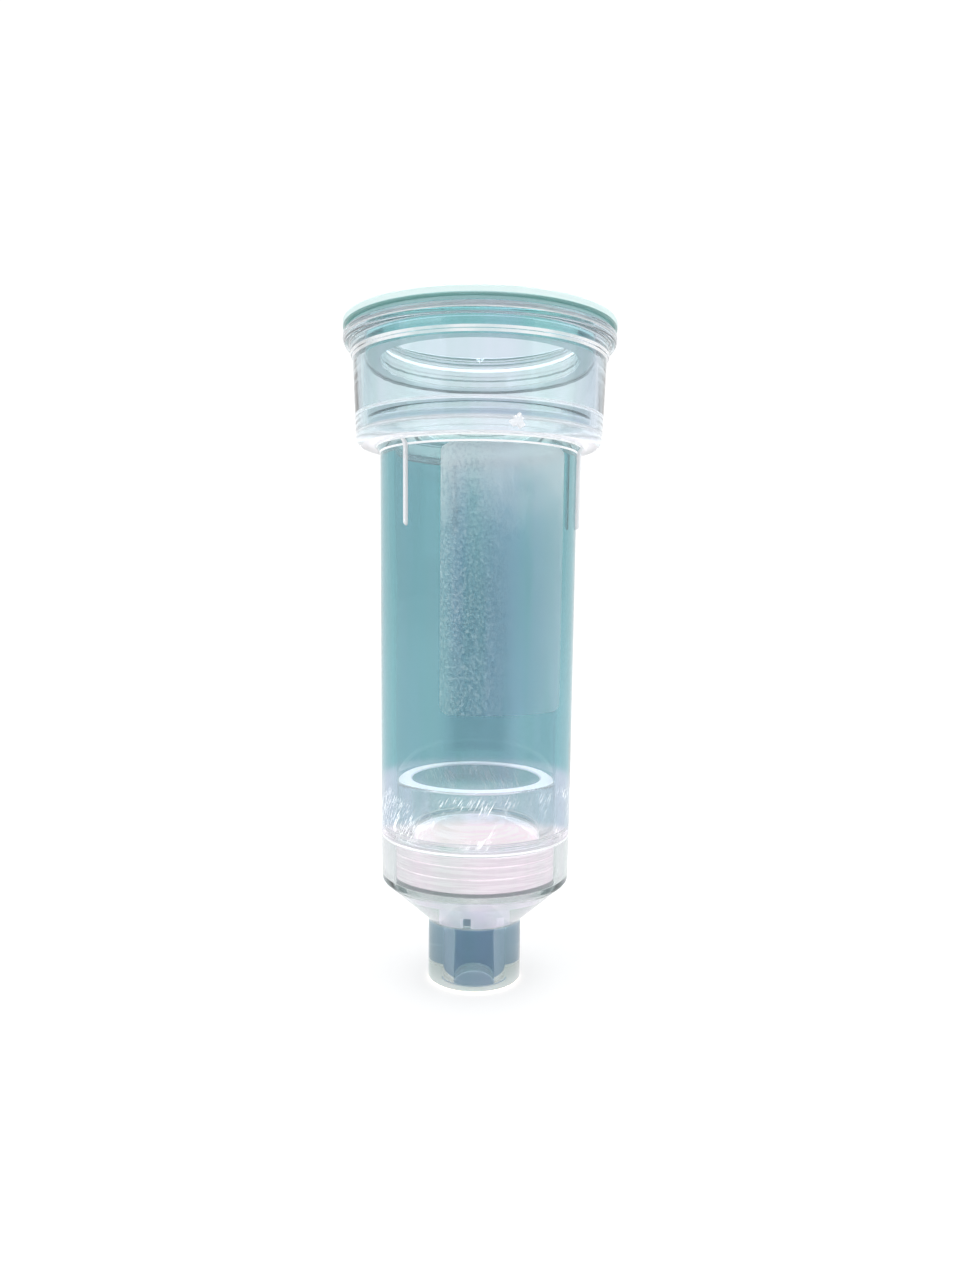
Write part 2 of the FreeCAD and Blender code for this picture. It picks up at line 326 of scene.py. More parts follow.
def clear_plastic(name, skin, bore=None, bore_radius=0.0, back=None, lean=0.0, blur=0.3,
                  marked=None, veil=None, *, soak):
    """Clear moulded plastic. Its outer skin and its bore (inside bore_radius, mm) are tinted in
    bands by height, the skin's levels leaning with y; its back half may have its own tint, and
    its skin tool marks between two heights. These tints are painted light, standing in for teal
    light that shows through the clear walls; the lean and the back half's tint make it differ
    from front to back, and a painted shade darkens a column up the bore. The tool marks and the
    milky part carry painted light, an emission. Below the height veil it is milky. It also soaks
    up light, by soak per metre."""
    material, tree, shader = surface(name, IOR=PLASTIC_IOR)
    volume = add(tree, "VolumeAbsorption", {"Color": BODY_TINT, "Density": soak})
    tree.links.new(volume.outputs[0], tree.nodes["Material Output"].inputs["Volume"])
    point, radius, height = place(tree)
    depth = coordinate(tree, point, "Y")
    leaning = times(tree, step(tree, height, *LEAN_FADE), lean)
    level = plus(tree, height, times(tree, depth, leaning))
    colour = banded(tree, point, level, skin, blur)
    # Painted light: the back half gets its own tint, apart from the front's.
    if back:
        behind = step(tree, depth, -BACK_BLUR, BACK_BLUR)
        colour = blend_colours(tree, behind, colour, drifting(tree, point, back))
    if bore:
        outside = step(tree, radius, bore_radius - BORE_BLUR, bore_radius + BORE_BLUR)
        inner = banded(tree, point, level, bore, blur)
        # Painted shade: a darker column up the middle of the bore.
        inner = blend_colours(tree, painted_shade_column(tree, point, height), inner, COLUMN_SHADE)
        colour = blend_colours(tree, outside, inner, colour)
    flow = streaked(tree, point, height, 0.01, 0.15)
    smear = noise(tree, flow, 0.8, 3.0, 0.6)
    roughness = ranged(tree, smear, 0.005, 0.045)
    if marked or veil:
        if marked:
            marks = times(tree, outside, tool_marks(tree, point, height, *marked))
        else:
            cloudy = times(tree, ranged(tree, smear, 0.35, 0.60), VEIL_STRENGTH)
            marks = times(tree, step(tree, height, veil + VEIL_BLUR, veil - VEIL_BLUR), cloudy)
        colour = blend_colours(tree, marks, colour, FROST_WHITE)
        through = maths(tree, "SUBTRACT", 1.0, times(tree, marks, 0.85))
        roughness = plus(tree, roughness, times(tree, marks, 0.5))
        # Painted highlight: the tool marks, and the milky veil, shine by an emission.
        shader.inputs["Emission Color"].default_value = FROST_WHITE
        feed(tree, shader, Transmission_Weight=through, Emission_Strength=times(tree, marks, 0.5))
    else:
        shader.inputs["Transmission Weight"].default_value = 1.0
    feed(tree, shader, Base_Color=colour, Roughness=roughness)
    bump(tree, shader, noise(tree, flow, 0.35), 0.05 * MM, 0.35)
    return material


def frosted_plastic(name, through, tint=FROST_WHITE, matte=0.45, *, painted_light,
                    painted_light_tint=FROST_WHITE):
    """The same plastic with a ground, frosted face that lets part of the light through. It
    carries painted light: an emission of the given strength and tint."""
    material, tree, shader = surface(name, Transmission_Weight=through, IOR=PLASTIC_IOR,
                                     Emission_Color=painted_light_tint, Emission_Strength=painted_light)
    point = place(tree)[0]
    grains = noise(tree, point, 5.0, 3.0, 0.7)
    feed(tree, shader, Base_Color=blend_colours(tree, grains, lighter(tint, 0.93), tint),
         Roughness=ranged(tree, grains, matte, matte + 0.3))
    bump(tree, shader, grains, 0.03 * MM, 0.5)
    return material


def bright_edge(name, painted_light):
    """A broken edge of clear plastic: it scatters light, and painted light, an emission, shows it
    as a fine uneven bright line.
    """
    material, tree, shader = surface(name, IOR=PLASTIC_IOR, Emission_Color=FROST_WHITE,
                                     Emission_Strength=painted_light)
    point = place(tree)[0]
    worn = step(tree, noise(tree, point, 0.22), 0.35, 0.60)
    colour = blend_colours(tree, worn, lighter(FROST_WHITE, 0.65), lighter(FROST_WHITE, 0.72))
    feed(tree, shader, Base_Color=colour, Transmission_Weight=ranged(tree, worn, 0.60, 0.15),
         Roughness=ranged(tree, worn, 0.35, 0.5))
    bump(tree, shader, noise(tree, point, 6.0), 0.02 * MM, 0.4)
    return material


def porous_ceramic(name, seed, painted_light=CERAMIC_PAINTED_LIGHT):
    """Fine sintered ceramic: pinkish white with pits and faint pressing lines. It carries
    painted light: a full emission, lighter along the lines and grain."""
    material, tree, shader = surface(name, Roughness=0.9, Specular_IOR_Level=0.3,
                                     Emission_Strength=1.0)
    point = place(tree)[0]
    shifted = add(tree, "VectorMath", {0: point, 1: (seed, 0, 0)}).outputs[0]
    blotch = noise(tree, shifted, 0.6, 3.0)
    colour = blend_colours(tree, blotch, PORCELAIN, PORCELAIN_LIGHT)
    layers = noise(tree, stretched(tree, shifted, (0.12, 0.12, 3.0)), 1.6, 3.0, 0.6)
    line = step(tree, layers, 0.42, 0.62)
    colour = blend_colours(tree, line, colour, PORCELAIN_LINE)
    pits = add(tree, "TexVoronoi", {"Vector": shifted, "Scale": 5.5}).outputs["Distance"]
    grain = noise(tree, shifted, 9.0, 3.0)
    # Painted light: its colour lighter along the lines and grain.
    light_share = plus(tree, times(tree, line, 0.6), times(tree, grain, 0.5))
    painted_light_colour = blend_colours(tree, light_share, painted_light, CERAMIC_LINE_PAINTED_LIGHT)
    feed(tree, shader, Base_Color=colour, Emission_Color=painted_light_colour)
    relief = plus(tree, plus(tree, times(tree, pits, 0.5), grain), times(tree, line, 0.8))
    bump(tree, shader, relief, 0.05 * MM, 0.5)
    return material


def seal_rubber(name, colour, tone, painted_light=0.0):
    """Satin silicone with fine dust and a slight unevenness; a pale one is given painted light, an
    emission.
    """
    material, tree, shader = surface(name, Specular_IOR_Level=0.4, Emission_Color=tone,
                                     Emission_Strength=painted_light)
    point = place(tree)[0]
    dust = noise(tree, point, 3.0, 4.0, 0.6)
    feed(tree, shader, Base_Color=blend_colours(tree, dust, colour, tone),
         Roughness=ranged(tree, dust, 0.35, 0.55))
    bump(tree, shader, noise(tree, point, 1.2, 3.0), 0.03 * MM, 0.4)
    return material


def milky_plastic(name, bore_radius):
    """Translucent white moulding for the support grid, with painted light, an emission. Within
    bore_radius (mm), where its skirt's inside is, it is darker with painted shade and its painted
    light fades."""
    material, tree, shader = surface(name, IOR=PLASTIC_IOR, Emission_Color=MILK_PAINTED_LIGHT)
    point, radius = place(tree)[:2]
    cloud = noise(tree, point, 0.7, 3.0)
    inside = step(tree, radius, bore_radius + 0.2, bore_radius + 0.05)
    colour = blend_colours(tree, cloud, MILKY, MILKY_LIGHT)
    # Painted shade inside the skirt, where the painted light also fades.
    feed(tree, shader, Base_Color=blend_colours(tree, inside, colour, SKIRT_SHADE),
         Emission_Strength=ranged(tree, inside, 0.30, 0.06),
         Transmission_Weight=ranged(tree, inside, 0.30, 0.0),
         Roughness=ranged(tree, noise(tree, point, 3.0, 3.0), 0.3, 0.5))
    bump(tree, shader, noise(tree, point, 2.0, 3.0), 0.02 * MM, 0.4)
    return material


def frosted_film(name, high):
    """Matte film with a fine speckle, nearly see-through, whiter towards its upper end (mm) and
    towards its sides. Its whiter right side is painted light, and painted shade darkens its left
    rim."""
    material, tree, shader = surface(name, IOR=FILM_IOR)
    point, _, height = place(tree)
    across = coordinate(tree, point, "X")
    colour = drifting(tree, point, FILM_TINT)
    ragged = plus(tree, height, times(tree, noise(tree, point, 0.25, 4.0), 9.0))
    veil = step(tree, ragged, high - 6.0, high + 4.5)
    colour = blend_colours(tree, times(tree, veil, 0.8), colour, FROST_WHITE)
    # Painted shade along the film's left rim.
    colour = blend_colours(tree, step(tree, across, *FILM_SHADED_RIM), colour, FILM_SHADE_AND_PORES)
    grains = noise(tree, point, 3.4, 4.0, 0.75)
    coarser = step(tree, across, *FILM_COARSE_SIDE)
    speckle = times(tree, step(tree, grains, 0.38, 0.72),
                    plus(tree, times(tree, coarser, 0.28), 0.18))
    # Painted light on the film's right side.
    lit_side = times(tree, step(tree, across, *FILM_LIT_SIDE), 0.55)
    left_side = times(tree, step(tree, across, *FILM_LEFT_SIDE), 0.30)
    paler_with_lit_side = plus(tree, speckle, plus(tree, lit_side, left_side))
    colour = blend_colours(tree, times(tree, paler_with_lit_side, 0.6), colour, FILM_PALE_AND_LIT)
    pores = times(tree, coarser, step(tree, grains, 0.50, 0.40))
    colour = blend_colours(tree, times(tree, pores, 0.34), colour, FILM_SHADE_AND_PORES)
    hidden = plus(tree, times(tree, veil, 0.18), times(tree, paler_with_lit_side, 0.15))
    specks = times(tree, coarser, step(tree, grains, 0.52, 0.64))
    hidden = plus(tree, hidden, times(tree, specks, 0.11))
    feed(tree, shader, Base_Color=colour, Roughness=ranged(tree, grains, 0.24, 0.38),
         Transmission_Weight=maths(tree, "SUBTRACT", 0.97, hidden))
    relief = times(tree, grains, plus(tree, times(tree, coarser, 0.85), 0.15))
    bump(tree, shader, relief, 0.006 * MM, 0.6)
    return material


def studio_paint(name):
    """Pale translucent paper, lit partly from below as on a light table."""
    material, tree, shader = surface(name, Roughness=0.85, Specular_IOR_Level=0.2,
                                     Emission_Color=(1, 1, 1, 1), Emission_Strength=0.52)
    fibre = noise(tree, place(tree)[0], 0.05, 3.0)
    feed(tree, shader, Base_Color=blend_colours(tree, fibre, PAPER, PAPER_LIGHT))
    return material


# ================================================================ stage, light and camera
def area_light(name, place_at, aim, **settings):
    """An area light at a place, aimed at a point."""
    data = bpy.data.lights.new(name, "AREA")
    for key, value in settings.items():
        setattr(data, key, value)
    lamp = bpy.data.objects.new(name, data)
    bpy.context.scene.collection.objects.link(lamp)
    lamp.location = place_at
    lamp.rotation_euler = (Vector(aim) - Vector(place_at)).to_track_quat("-Z", "Y").to_euler()
    return lamp


def make_stage():
    """A seamless floor that sweeps up into a backdrop well behind the object."""
    half_width, front, back, bend, top = 1.6, -1.2, 1.3, 0.5, 1.8
    drop, bend_steps = -0.05 * MM, 16
    profile = [(front, drop), (back - bend, drop)]
    for index in range(1, bend_steps + 1):
        angle = math.pi / 2 * index / bend_steps
        profile.append((back - bend + bend * math.sin(angle),
                        drop + bend - bend * math.cos(angle)))
    profile.append((back, top))
    mesh = bpy.data.meshes.new("studio_sweep")
    points = [(x, y, z) for y, z in profile for x in (-half_width, half_width)]
    faces = [(2 * i, 2 * i + 1, 2 * i + 3, 2 * i + 2) for i in range(len(profile) - 1)]
    mesh.from_pydata(points, [], faces)
    mesh.shade_smooth()
    sweep = bpy.data.objects.new("studio_sweep", mesh)
    bpy.context.scene.collection.objects.link(sweep)
    mesh.materials.append(studio_paint("studio_paint"))


def make_lights():
    """Soft daylight from all round, a wash on the backdrop and a narrow light down the tube."""
    world = bpy.data.worlds.new("studio_world")
    bpy.context.scene.world = world
    world.use_nodes = True
    background = world.node_tree.nodes["Background"]
    background.inputs["Color"].default_value = DAYLIGHT
    background.inputs["Strength"].default_value = 0.93
    middle = (0, 0, 0.04)
    area_light("panel_left", (-0.45, -0.35, 0.40), middle, energy=0.9, size=0.5)
    area_light("panel_right", (0.50, -0.20, 0.30), middle, energy=0.7, size=0.5)
    area_light("backdrop_wash", (0, 0.2, 1.2), (0, 1.3, 0.5), energy=2.0, size=1.2)
    snoot = area_light("snoot", (0, 0, 0.45), (0, 0, 0), energy=0.009, size=0.03,
                       spread=math.radians(14), shape="DISK")
    snoot.visible_camera = False
    snoot.visible_transmission = False


def make_camera():
    """Close to the object and a little above its middle, tipped slightly down."""
    sensor, lens = 36.0, 26.409375   # in mm; the sensor is measured along its longer side
    stand_off, height = 0.1053, 0.0448
    yaw, pitch, roll = (math.radians(angle) for angle in (0.20, 3.44, 0.57))
    forward = Vector((math.sin(yaw) * math.cos(pitch), math.cos(yaw) * math.cos(pitch),
                      -math.sin(pitch)))
    level = Vector((math.cos(yaw), -math.sin(yaw), 0))
    upright = level.cross(forward)
    right = level * math.cos(roll) + upright * math.sin(roll)
    up = upright * math.cos(roll) - level * math.sin(roll)
    data = bpy.data.cameras.new("camera")
    data.sensor_width = sensor
    data.lens = lens
    data.clip_start, data.clip_end = 5 * MM, 20
    camera = bpy.data.objects.new("camera", data)
    bpy.context.scene.collection.objects.link(camera)
    turn = Matrix((right, up, -forward)).transposed().to_4x4()
    camera.matrix_world = Matrix.Translation((0, -stand_off, height)) @ turn
    bpy.context.scene.camera = camera


def set_light_paths():
    """Enough bounces for light to cross every clear wall, in plain colours and without grain."""
    scene = bpy.context.scene
    scene.view_settings.view_transform = "Standard"
    scene.cycles.max_bounces = 24
    scene.cycles.transmission_bounces = 24
    scene.cycles.glossy_bounces = 8
    scene.cycles.diffuse_bounces = 4
    scene.cycles.use_denoising = True


make_camera()
make_stage()
make_lights()
set_light_paths()


# ================================================================ reading the frame
def loop_of(edges):
    """Walk a chain or ring of edges; returns its (radius, height) points in order."""
    beside = {}
    for edge in edges:
        first, second = edge.verts
        beside.setdefault(first, []).append(second)
        beside.setdefault(second, []).append(first)
    ends = [vert for vert, others in beside.items() if len(others) == 1]
    here, came_from, walked = (ends or list(beside))[0], None, []
    while here is not None and here not in walked:
        walked.append(here)
        onward = [vert for vert in beside[here] if vert is not came_from and vert not in walked]
        came_from, here = here, onward[0] if onward else None
    return [(max(vert.co.x, 0.0), vert.co.z) for vert in walked]


def area_of(outline):
    """Signed area of a closed outline, positive when it runs anticlockwise."""
    pairs = zip(outline, outline[1:] + outline[:1])
    return sum(a[0] * b[1] - b[0] * a[1] for a, b in pairs) / 2


def is_straight(before, here, after):
    """True if a point lies on the line between its neighbours."""
    first = (Vector(here) - Vector(before)).normalized()
    second = (Vector(after) - Vector(here)).normalized()
    return abs(first.cross(second)) < STRAIGHT


def outline_of(node):
    """The anticlockwise (radius, height) outline of a turned CAD node, cut at y = 0, x > 0."""
    cut = bmesh.new()
    cut.from_mesh(NODES[node].data)
    bmesh.ops.remove_doubles(cut, verts=cut.verts, dist=NEAR)
    everything = cut.verts[:] + cut.edges[:] + cut.faces[:]
    bmesh.ops.bisect_plane(cut, geom=everything, dist=NEAR, plane_co=(0, 0, 0),
                           plane_no=(1, 0, 0), clear_inner=True)
    everything = cut.verts[:] + cut.edges[:] + cut.faces[:]
    result = bmesh.ops.bisect_plane(cut, geom=everything, dist=NEAR, plane_co=(0, 0, 0),
                                    plane_no=(0, 1, 0))
    edges = [item for item in result["geom_cut"] if isinstance(item, bmesh.types.BMEdge)]
    outline = loop_of(edges)
    cut.free()
    count = len(outline)
    kept = [outline[i] for i in range(count)
            if not is_straight(outline[i - 1], outline[i], outline[(i + 1) % count])]
    return kept if area_of(kept) > 0 else kept[::-1]


# ================================================================ turned pieces
def inset(outline, distance):
    """Move every side of an outline inwards; points on the axis stay on it."""
    count, moved = len(outline), []
    for i in range(count):
        here = Vector(outline[i])
        into = (here - Vector(outline[i - 1])).normalized()
        out_of = (Vector(outline[(i + 1) % count]) - here).normalized()
        left_in, left_out = Vector((-into.y, into.x)), Vector((-out_of.y, out_of.x))
        bisector = (left_in + left_out).normalized()
        reach = distance / max(bisector.dot(left_in), 0.2)
        point = here + bisector * reach
        moved.append((0.0 if here.x < NEAR else point.x, point.y))
    return moved


def softened(outline, size):
    """Break every sharp corner with a small curve; returns (radius, height, is_edge) points,
    is_edge marking the sides that belong to a broken corner."""
    count, soft = len(outline), []
    for i in range(count):
        before, here = Vector(outline[i - 1]), Vector(outline[i])
        after = Vector(outline[(i + 1) % count])
        to_before, to_after = before - here, after - here
        turn = math.pi - to_before.angle(to_after)
        if turn < SHARP or here.x < NEAR:
            soft.append((here.x, here.y, False))
            continue
        reach = min(size, 0.4 * to_before.length, 0.4 * to_after.length)
        start = here + to_before.normalized() * reach
        end = here + to_after.normalized() * reach
        for k in range(SOFT_STEPS + 1):
            t = k / SOFT_STEPS
            point = start * (1 - t) ** 2 + here * 2 * t * (1 - t) + end * t ** 2
            soft.append((point.x, point.y, k < SOFT_STEPS))
    return soft


def spin(name, outline):
    """Turn an outline about Z into a closed mesh object; edge strips get material 1."""
    turned = bmesh.new()
    rings = []
    for radius, height, _ in outline:
        if radius < NEAR:
            rings.append([turned.verts.new((0, 0, height))] * TURN_STEPS)
            continue
        angles = (2 * math.pi * k / TURN_STEPS for k in range(TURN_STEPS))
        rings.append([turned.verts.new((radius * math.cos(a), radius * math.sin(a), height))
                      for a in angles])
    for side, (lower, upper) in enumerate(zip(rings, rings[1:] + rings[:1])):
        for k in range(TURN_STEPS):
            after = (k + 1) % TURN_STEPS
            corners = dict.fromkeys((lower[k], lower[after], upper[after], upper[k]))
            if len(corners) > 2:
                face = turned.faces.new(corners)
                face.material_index = int(outline[side][2])
    bmesh.ops.recalc_face_normals(turned, faces=turned.faces)
    return shown(name, turned)


def shown(name, shape):
    """Make a bmesh into an object in the scene."""
    mesh = bpy.data.meshes.new(name)
    shape.to_mesh(mesh)
    shape.free()
    piece = bpy.data.objects.new(name, mesh)
    bpy.context.scene.collection.objects.link(piece)
    return piece


def finish_mesh(piece):
    """Smooth shading that keeps broad walls true and creases crisp."""
    mesh = piece.data
    shaped = bmesh.new()
    shaped.from_mesh(mesh)
    for face in shaped.faces:
        face.smooth = True
    for edge in shaped.edges:
        edge.smooth = len(edge.link_faces) != 2 or edge.calc_face_angle(0) < SHARP
    shaped.to_mesh(mesh)
    shaped.free()
    weighted = piece.modifiers.new("true_walls", "WEIGHTED_NORMAL")
    weighted.keep_sharp = True
    return piece


def stand_for(node, piece, *materials):
    """Show a piece in place of a CAD node, on its body, with the materials given."""
    for material in materials:
        piece.data.materials.append(material)
    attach(piece, BODY_OF[node])
    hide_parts(node)
    return piece


def turned_piece(node, *materials, softness=EDGE_SOFTNESS):
    """A finely turned copy of a lathe-made CAD node, with broken edges. The materials are the
    body's, the edges' and then any for marked faces."""
    piece = spin(node + "_turned", softened(inset(outline_of(node), SEAM), softness))
    if len(materials) == 1:
        materials = materials * 2
    return stand_for(node, finish_mesh(piece), *materials)


def mark_faces(piece, slot, lowest, highest, facing=0, nearest=0.0):
    """Give faces between two heights, and beyond a radius (mm), another of the piece's
    materials. With facing +1 or -1 only those that look up or down are taken. The edge strips
    keep their own."""
    for face in piece.data.polygons:
        middle = face.center / MM
        inside = lowest - 0.05 <= middle.z <= highest + 0.05
        beyond = math.hypot(middle.x, middle.y) >= nearest
        faces_so = facing == 0 or face.normal.z * facing > 0.9
        if inside and beyond and faces_so and face.material_index != 1:
            face.material_index = slot


def mark_edges(piece, slot, lowest, highest):
    """Give the broken edges between two heights (mm) another of the piece's materials."""
    for face in piece.data.polygons:
        if face.material_index == 1 and lowest <= face.center.z / MM <= highest:
            face.material_index = slot


# ================================================================ the label and the ribs
def polar(radius, azimuth, height):
    """A point by its distance from the axis, its angle from -Y towards +X, and its height."""
    return (radius * math.sin(azimuth), -radius * math.cos(azimuth), height)


def azimuth_of(point):
    """The angle of a point from -Y towards +X."""
    return math.atan2(point.x, -point.y)


def label_panel(node, material):
    """A thin matte film wrapped round the tube, with rounded corners and thinned rims."""
    points = [vert.co for vert in NODES[node].data.vertices]
    low, high = min(p.z for p in points), max(p.z for p in points)
    first, last = min(map(azimuth_of, points)), max(map(azimuth_of, points))
    bottom = min(math.hypot(p.x, p.y) for p in points if p.z < low + NEAR)
    top = min(math.hypot(p.x, p.y) for p in points if p.z > high - NEAR)
    columns, rows = 72, 72
    gap, thickness, corner, rim = 0.015 * MM, 0.07 * MM, 0.9 * MM, 0.25 * MM
    film = bmesh.new()
    front, back = [], []
    for row in range(rows + 1):
        height = low + (high - low) * row / rows
        wall = bottom + (top - bottom) * row / rows
        from_end = min(height - low, high - height)
        cut = corner - math.sqrt(max(corner ** 2 - max(corner - from_end, 0) ** 2, 0))
        start, end = first + cut / wall, last - cut / wall
        for sheet, side in ((front, 1), (back, 0)):
            line = []
            for column in range(columns + 1):
                azimuth = start + (end - start) * column / columns
                from_rim = min(from_end, wall * min(azimuth - start, end - azimuth))
                fullness = min(1.0, 0.35 + 0.65 * from_rim / rim)
                radius = wall + gap + side * thickness * fullness
                line.append(film.verts.new(polar(radius, azimuth, height)))
            sheet.append(line)
    for row in range(rows):
        for column in range(columns):
            for sheet in (front, back):
                film.faces.new((sheet[row][column], sheet[row][column + 1],
                                sheet[row + 1][column + 1], sheet[row + 1][column]))
        for column in (0, columns):
            film.faces.new((front[row][column], back[row][column],
                            back[row + 1][column], front[row + 1][column]))
    for column in range(columns):
        for row in (0, rows):
            film.faces.new((front[row][column], back[row][column],
                            back[row][column + 1], front[row][column + 1]))
    bmesh.ops.recalc_face_normals(film, faces=film.faces)
    stand_for(node, finish_mesh(shown("label_film", film)), material)


def tube_ribs(node, material):
    """Three thin upright ribs on the tube's wall, under the collar, with rounded toes."""
    rib_count, first, width, proud, sunk = 3, math.radians(-43), 0.40 * MM, 0.42 * MM, 0.02 * MM
    toe, top = 50.7 * MM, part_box("collar")[0].z - 0.05 * MM
    steps, across = 40, 10
    shape = bmesh.new()
    for index in range(rib_count):
        azimuth = first + 2 * math.pi * index / rib_count
        rings = []
        for k in range(steps + 1):
            rise = (k / steps) ** 1.5
            height = toe + (top - toe) * rise
            swell = math.sin(math.pi / 2 * min(1, (height - toe) / width + 0.12))
            wall = wall_radius(height)
            ring = []
            for j in range(across + 1):
                turn = math.pi * j / across
                out = wall - sunk + (proud + sunk) * swell * math.sin(turn) ** 0.6
                side = -width / 2 * swell * math.cos(turn) / wall
                ring.append(shape.verts.new(polar(out, azimuth + side, height)))
            rings.append(ring)
        for lower, upper in zip(rings, rings[1:]):
            for j in range(across + 1):
                after = (j + 1) % (across + 1)
                shape.faces.new((lower[j], lower[after], upper[after], upper[j]))
        shape.faces.new(rings[0])
        shape.faces.new(rings[-1])
    bmesh.ops.recalc_face_normals(shape, faces=shape.faces)
    stand_for(node, finish_mesh(shown("tube_ribs", shape)), material)


def gate_nub(beside, material):
    """The torn-off remnant of a moulding gate low on the collar's wall: a small uneven lump."""
    azimuth, middle, wall = math.radians(14.3), 60.35 * MM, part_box(beside)[1].x - 0.12 * MM
    half_width, half_height, proud = 0.68 * MM, 0.66 * MM, 0.38 * MM
    rings, around, sunk_share, bluntness = 14, 36, -0.5, 0.6
    dice = random.Random(5)
    wide, fine, ringed, spoked = (dice.uniform(0, 2 * math.pi) for _ in range(4))
    lump = bmesh.new()
    sheets = []
    outer_tilts = [math.pi / 2 * (k + 1) / (rings + 1) for k in range(rings)]
    inner_tilts = [math.pi / 2 * (rings - k - 1) / rings for k in range(rings - 1)]
    for side, tilts in ((1, outer_tilts), (sunk_share, inner_tilts)):
        for tilt in tilts:
            line = []
            for j in range(around):
                turn = 2 * math.pi * j / around
                torn = 1 + 0.22 * math.sin(3 * turn + wide) + 0.12 * math.sin(7 * turn + fine)
                pitted = 1 + 0.12 * math.sin(9 * tilt + ringed) * math.sin(5 * turn + spoked)
                spread = math.sin(tilt) ** bluntness * torn
                across = spread * math.cos(turn) * half_width
                up = spread * math.sin(turn) * half_height
                out = wall + side * proud * math.cos(tilt) * pitted
                line.append(lump.verts.new(polar(out, azimuth + across / wall, middle + up)))
            sheets.append(line)
    for near, far in zip(sheets, sheets[1:]):
        for j in range(around):
            after = (j + 1) % around
            lump.faces.new((near[j], near[after], far[after], far[j]))
    lump.faces.new(sheets[0])
    lump.faces.new(sheets[-1])
    bmesh.ops.recalc_face_normals(lump, faces=lump.faces)
    nub = finish_mesh(shown("gate_nub", lump))
    nub.data.materials.append(material)
    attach(nub, BODY_OF[beside])


def wall_radius(height):
    """The radius of the tube's tapered outer wall at a height."""
    sides = [(a, b) for a, b in zip(TUBE_OUTLINE, TUBE_OUTLINE[1:] + TUBE_OUTLINE[:1])
             if a[1] < height < b[1]]
    (first, low), (last, high) = max(sides, key=lambda side: side[0][0])
    return first + (last - first) * (height - low) / (high - low)


# ================================================================ the pieces
def dress(node, material):
    """Give a CAD node's object one material."""
    slots = NODES[node].data.materials
    slots.clear()
    slots.append(material)


TUBE_OUTLINE = outline_of("tube")
# Painted highlights: these broken edges shine by an emission, the upper ones and the lit ones
# more.
EDGE = bright_edge("bright_edge", 0.32)
UPPER_EDGE = bright_edge("upper_edge", 0.50)
LIT_EDGE = bright_edge("lit_edge", 1.05)
# Painted light: the frosted joint faces shine by an emission.
JOINT_FACE = frosted_plastic("joint_face", 0.35, painted_light=0.55)

# levels, in mm
retainer_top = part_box("retaining_ring")[1].z / MM
collar_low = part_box("collar")[0].z / MM
collar_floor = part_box("tube")[1].z / MM
mouth_low, mouth_top = (corner.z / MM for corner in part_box("mouth_ring"))
cup_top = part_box("upper_disc_seal")[1].z / MM
chamber_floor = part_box("support_grid")[0].z / MM
label_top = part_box("matte_label")[1].z / MM
teal_low = retainer_top + 0.1
smoke_top = chamber_floor - 0.4
milky_top = collar_low + 1.5

# depths of the bands in which faces and edges are marked, in mm
JOINT_DEPTH = 1.0
FLANGE_DEPTH = 1.5
FOOT_DEPTH = 0.32
FACE_DEPTH = 0.2
RIM_DEPTH, RIM_RADIUS = 0.6, 12.5
SHOULDER_RISE, FLOOR_RISE = 2.5, 0.3
SPIGOT_EDGE = (-0.1, 0.4)
FLARE_EDGE = (-2.3, -1.6)
RETAINER_DEPTH = 0.3
CROWN_DROP = 0.5

# Painted light: the tube's skin and bore are tinted in bands for teal light seen through them.
tube_skin = [(0, JOINT_LOW), (cup_top, JOINT_SKIN), (teal_low, TEAL_SKIN), (collar_low, CLEAR)]
tube_bore = [(0, CLEAR), (teal_low, TEAL_BORE), (collar_low, CLEAR)]
tube_clear = clear_plastic("tube_clear", tube_skin, tube_bore, BORE_WALL, lean=0.33, blur=0.6,
                           marked=(cup_top, retainer_top), soak=TUBE_SOAK)
tube = turned_piece("tube", tube_clear, EDGE, JOINT_FACE, UPPER_EDGE, softness=0.12 * MM)
mark_edges(tube, 3, collar_floor - FLANGE_DEPTH, collar_floor + 0.1)
mark_faces(tube, 2, cup_top, cup_top + JOINT_DEPTH, facing=-1)
mark_faces(tube, 2, collar_floor - FLANGE_DEPTH, collar_floor, facing=1)
# Painted light: a faint emission on the ribs.
tube_ribs("tube", frosted_plastic("rib_white", 0.25, painted_light=0.06))
label_panel("matte_label", frosted_film("frosted_film", label_top))

# Painted light: the cup's skin is tinted for teal light seen through it.
cup_skin = [(0, SMOKE_SKIN), (smoke_top, CUP_SKIN)]
cup_clear = clear_plastic("base_clear", cup_skin, soak=CUP_SOAK)
# Painted light: the spout's frosted foot shines warm by an emission.
frosted_foot = frosted_plastic("frosted_foot", 0.95, matte=0.7, painted_light=0.74, painted_light_tint=FOOT_PAINTED_LIGHT)
cup = turned_piece("base_funnel", cup_clear, EDGE, frosted_foot, JOINT_FACE,
                   softness=0.10 * MM)
mark_faces(cup, 2, 0, FOOT_DEPTH)
mark_faces(cup, 3, cup_top, cup_top + JOINT_DEPTH, facing=1)

# Painted light: the collar's front half is tinted, its back half left white.
collar_clear = clear_plastic("collar_clear", [(0, COLLAR_FRONT)], back=COLLAR_BACK,
                             veil=milky_top, soak=COLLAR_SOAK)
# Painted highlight: the collar's broken edges shine by an emission.
collar_edge = bright_edge("collar_edge", 0.18)
